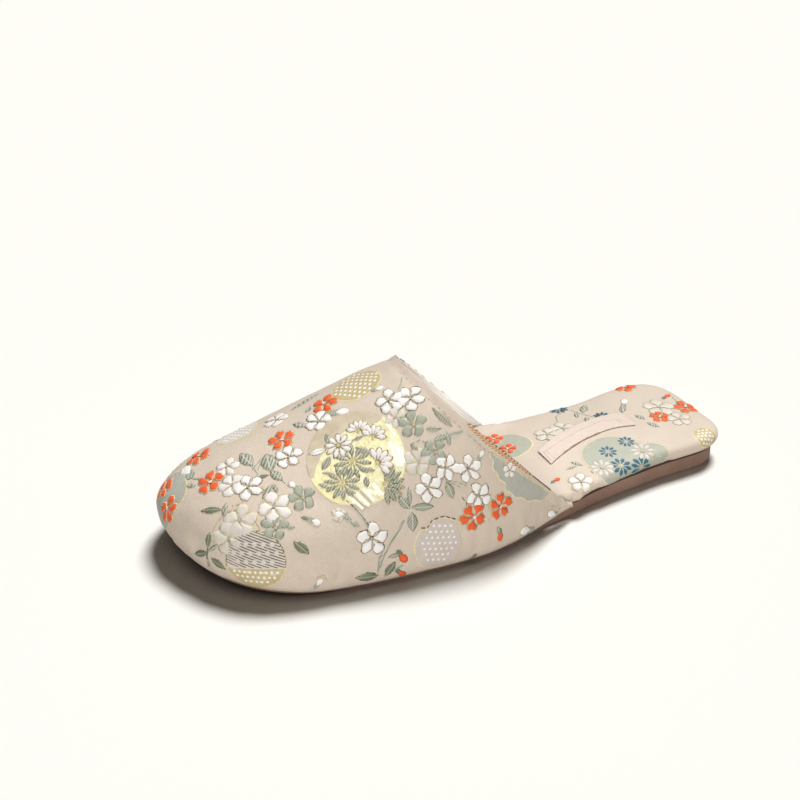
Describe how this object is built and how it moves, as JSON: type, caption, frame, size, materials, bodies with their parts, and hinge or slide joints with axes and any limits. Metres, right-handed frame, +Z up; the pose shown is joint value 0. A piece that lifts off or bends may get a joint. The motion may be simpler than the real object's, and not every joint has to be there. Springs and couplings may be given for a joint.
{
  "type": "brocade mule slipper",
  "caption": "Backless house slipper for the left foot: a hollow flowered brocade vamp with a closed round toe, a padded brocade insole and a thin flat rubber sole.",
  "frame": {"origin": "on the floor, under the middle of the slipper's box", "axes": "+Y to the heel, -Y to the toe, +X to the outer side of the left foot, +Z up"},
  "size_m": [0.105, 0.261, 0.0747],
  "materials": {
    "upper_brocade": "beige twill ground with woven flowers in silky thread",
    "insole_brocade": "pale cream brocade over soft padding",
    "outsole_rubber": "matt brown rubber",
    "label_cloth": "plain woven tape"
  },
  "bodies": {
    "root": {"upper": "upper_brocade", "insole": "insole_brocade", "outsole": "outsole_rubber", "label": "label_cloth"}
  },
  "joints": []
}
